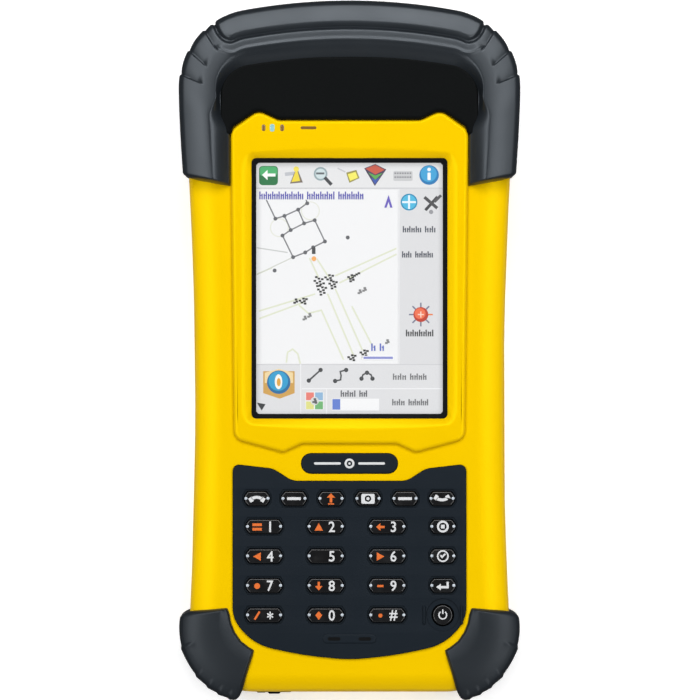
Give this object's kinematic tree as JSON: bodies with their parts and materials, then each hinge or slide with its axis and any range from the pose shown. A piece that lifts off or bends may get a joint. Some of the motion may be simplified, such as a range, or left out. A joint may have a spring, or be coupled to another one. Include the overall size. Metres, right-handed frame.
{
  "type": "handheld data collector",
  "caption": "Rugged handheld field data collector: touch display, keypad, rubber corner guards and antenna cap, with ports, stylus and a battery door at the back.",
  "frame": {"origin": "centre of the footprint, on the plane that the top bumper and the two corner guards rest on", "axes": "+X to the user's right, +Y towards the antenna end, +Z out of the display; the unit lies on its back"},
  "size_m": [0.0868, 0.178, 0.03],
  "materials": {
    "yellow_plastic": "satin moulded plastic with a soft highlight along its long edges",
    "bumper_rubber": "smooth slate rubber",
    "cap_plastic": "matt near-black plastic",
    "keypad_plastic": "satin slate plastic",
    "key_plastic": "black gloss caps with printed signs",
    "badge_plastic": "smooth slate pill, blank",
    "screen_glass": "clear",
    "lcd": "lit display in a thin frame",
    "black_rubber": "matt black",
    "silicone": "translucent grey silicone",
    "circuit_board": "green solder mask",
    "steel": "brushed",
    "dark_steel": "blackened",
    "antenna_ceramic": "fired ceramic patch",
    "lamp_lens": "small clear light guides",
    "battery_plastic": "fine grain",
    "window_glass": "dark camera window",
    "flash_plastic": "milky lens",
    "socket_plastic": "plain"
  },
  "bodies": {
    "casing": {"front_housing": "yellow_plastic", "rear_housing": "yellow_plastic", "display_bezel": "yellow_plastic", "antenna_cap": "cap_plastic", "top_bumper": "bumper_rubber", "bottom_bumper_left": "bumper_rubber", "bottom_bumper_right": "bumper_rubber", "badge_plate": "badge_plastic", "touch_glass": "screen_glass", "display_gasket": "black_rubber", "lcd_module": "lcd", "keypad_panel": "keypad_plastic", "keypad_mat": "silicone", "dome_sheet": "steel", "keypad_board": "circuit_board", "main_board": "circuit_board", "gps_antenna": "antenna_ceramic", "indicator_lenses": "lamp_lens", "earpiece": "socket_plastic", "door_seal": "black_rubber", "camera_module": "socket_plastic", "camera_window": "window_glass", "flash_lens": "flash_plastic", "speaker": "socket_plastic", "housing_seal": "black_rubber", "housing_screws": "dark_steel", "usb_socket": "steel", "headset_jack": "socket_plastic", "charge_socket": "steel"},
    "battery_door": {"battery_door": "battery_plastic"},
    "battery_pack": {"battery_pack": "battery_plastic"},
    "fastener_upper": {"door_fastener_upper": "dark_steel"},
    "fastener_lower": {"door_fastener_lower": "dark_steel"},
    "side_port_cover": {"side_port_cover": "black_rubber"},
    "charge_cover": {"charge_cover": "black_rubber"},
    "stylus": {"stylus": "battery_plastic"},
    "volume_rocker": {"volume_rocker": "black_rubber"},
    "side_button": {"side_button": "black_rubber"},
    "key_send": {"key_send": "key_plastic"},
    "key_soft_left": {"key_soft_left": "key_plastic"},
    "key_fn": {"key_fn": "key_plastic"},
    "key_camera": {"key_camera": "key_plastic"},
    "key_soft_right": {"key_soft_right": "key_plastic"},
    "key_end": {"key_end": "key_plastic"},
    "key_1": {"key_1": "key_plastic"},
    "key_2": {"key_2": "key_plastic"},
    "key_3": {"key_3": "key_plastic"},
    "key_start": {"key_start": "key_plastic"},
    "key_4": {"key_4": "key_plastic"},
    "key_5": {"key_5": "key_plastic"},
    "key_6": {"key_6": "key_plastic"},
    "key_ok": {"key_ok": "key_plastic"},
    "key_7": {"key_7": "key_plastic"},
    "key_8": {"key_8": "key_plastic"},
    "key_9": {"key_9": "key_plastic"},
    "key_enter": {"key_enter": "key_plastic"},
    "key_star": {"key_star": "key_plastic"},
    "key_0": {"key_0": "key_plastic"},
    "key_hash": {"key_hash": "key_plastic"},
    "key_power": {"key_power": "key_plastic"}
  },
  "joints": [
    {"name": "battery_door_lift", "type": "slide", "parent": "casing", "child": "battery_door", "axis": [0, 0, -1], "range_m": [0, 0.016]},
    {"name": "battery_lift", "type": "slide", "parent": "casing", "child": "battery_pack", "axis": [0, 0, -1], "range_m": [0, 0.008]},
    {"name": "fastener_upper_turn", "type": "hinge", "parent": "battery_door", "child": "fastener_upper", "pos_m": [0, 0.0118, 0.0015], "axis": [0, 0, 1], "range_deg": [0, 90]},
    {"name": "fastener_lower_turn", "type": "hinge", "parent": "battery_door", "child": "fastener_lower", "pos_m": [0, -0.0619, 0.0015], "axis": [0, 0, 1], "range_deg": [0, 90]},
    {"name": "side_cover_hinge", "type": "hinge", "parent": "casing", "child": "side_port_cover", "pos_m": [-0.0392, 0.027, 0.0067], "axis": [0, -1, 0], "range_deg": [0, 90]},
    {"name": "charge_cover_hinge", "type": "hinge", "parent": "casing", "child": "charge_cover", "pos_m": [-0.0194, -0.0861, 0.0069], "axis": [1, 0, 0], "range_deg": [0, 110]},
    {"name": "stylus_slide", "type": "slide", "parent": "casing", "child": "stylus", "axis": [0, 1, 0], "range_m": [0, 0.1]},
    {"name": "volume_rock", "type": "hinge", "parent": "casing", "child": "volume_rocker", "pos_m": [0.0362, 0.0292, 0.0112], "axis": [0, 0, 1], "range_deg": [-1.5, 1.5], "stiffness_Nm_per_rad": 0.3},
    {"name": "side_button_press", "type": "slide", "parent": "casing", "child": "side_button", "axis": [-1, 0, 0], "range_m": [0, 0.0005], "stiffness_N_per_m": 2500},
    {"name": "key_send_press", "type": "slide", "parent": "casing", "child": "key_send", "axis": [0, 0, -1], "range_m": [0, 0.0006], "stiffness_N_per_m": 2500},
    {"name": "key_soft_left_press", "type": "slide", "parent": "casing", "child": "key_soft_left", "axis": [0, 0, -1], "range_m": [0, 0.0006], "stiffness_N_per_m": 2500},
    {"name": "key_fn_press", "type": "slide", "parent": "casing", "child": "key_fn", "axis": [0, 0, -1], "range_m": [0, 0.0006], "stiffness_N_per_m": 2500},
    {"name": "key_camera_press", "type": "slide", "parent": "casing", "child": "key_camera", "axis": [0, 0, -1], "range_m": [0, 0.0006], "stiffness_N_per_m": 2500},
    {"name": "key_soft_right_press", "type": "slide", "parent": "casing", "child": "key_soft_right", "axis": [0, 0, -1], "range_m": [0, 0.0006], "stiffness_N_per_m": 2500},
    {"name": "key_end_press", "type": "slide", "parent": "casing", "child": "key_end", "axis": [0, 0, -1], "range_m": [0, 0.0006], "stiffness_N_per_m": 2500},
    {"name": "key_1_press", "type": "slide", "parent": "casing", "child": "key_1", "axis": [0, 0, -1], "range_m": [0, 0.0006], "stiffness_N_per_m": 2500},
    {"name": "key_2_press", "type": "slide", "parent": "casing", "child": "key_2", "axis": [0, 0, -1], "range_m": [0, 0.0006], "stiffness_N_per_m": 2500},
    {"name": "key_3_press", "type": "slide", "parent": "casing", "child": "key_3", "axis": [0, 0, -1], "range_m": [0, 0.0006], "stiffness_N_per_m": 2500},
    {"name": "key_start_press", "type": "slide", "parent": "casing", "child": "key_start", "axis": [0, 0, -1], "range_m": [0, 0.0006], "stiffness_N_per_m": 2500},
    {"name": "key_4_press", "type": "slide", "parent": "casing", "child": "key_4", "axis": [0, 0, -1], "range_m": [0, 0.0006], "stiffness_N_per_m": 2500},
    {"name": "key_5_press", "type": "slide", "parent": "casing", "child": "key_5", "axis": [0, 0, -1], "range_m": [0, 0.0006], "stiffness_N_per_m": 2500},
    {"name": "key_6_press", "type": "slide", "parent": "casing", "child": "key_6", "axis": [0, 0, -1], "range_m": [0, 0.0006], "stiffness_N_per_m": 2500},
    {"name": "key_ok_press", "type": "slide", "parent": "casing", "child": "key_ok", "axis": [0, 0, -1], "range_m": [0, 0.0006], "stiffness_N_per_m": 2500},
    {"name": "key_7_press", "type": "slide", "parent": "casing", "child": "key_7", "axis": [0, 0, -1], "range_m": [0, 0.0006], "stiffness_N_per_m": 2500},
    {"name": "key_8_press", "type": "slide", "parent": "casing", "child": "key_8", "axis": [0, 0, -1], "range_m": [0, 0.0006], "stiffness_N_per_m": 2500},
    {"name": "key_9_press", "type": "slide", "parent": "casing", "child": "key_9", "axis": [0, 0, -1], "range_m": [0, 0.0006], "stiffness_N_per_m": 2500},
    {"name": "key_enter_press", "type": "slide", "parent": "casing", "child": "key_enter", "axis": [0, 0, -1], "range_m": [0, 0.0006], "stiffness_N_per_m": 2500},
    {"name": "key_star_press", "type": "slide", "parent": "casing", "child": "key_star", "axis": [0, 0, -1], "range_m": [0, 0.0006], "stiffness_N_per_m": 2500},
    {"name": "key_0_press", "type": "slide", "parent": "casing", "child": "key_0", "axis": [0, 0, -1], "range_m": [0, 0.0006], "stiffness_N_per_m": 2500},
    {"name": "key_hash_press", "type": "slide", "parent": "casing", "child": "key_hash", "axis": [0, 0, -1], "range_m": [0, 0.0006], "stiffness_N_per_m": 2500},
    {"name": "key_power_press", "type": "slide", "parent": "casing", "child": "key_power", "axis": [0, 0, -1], "range_m": [0, 0.0006], "stiffness_N_per_m": 2500}
  ],
  "couplings": [
    {"joint": "battery_lift", "follows": "battery_door_lift", "ratio": 0.5}
  ]
}
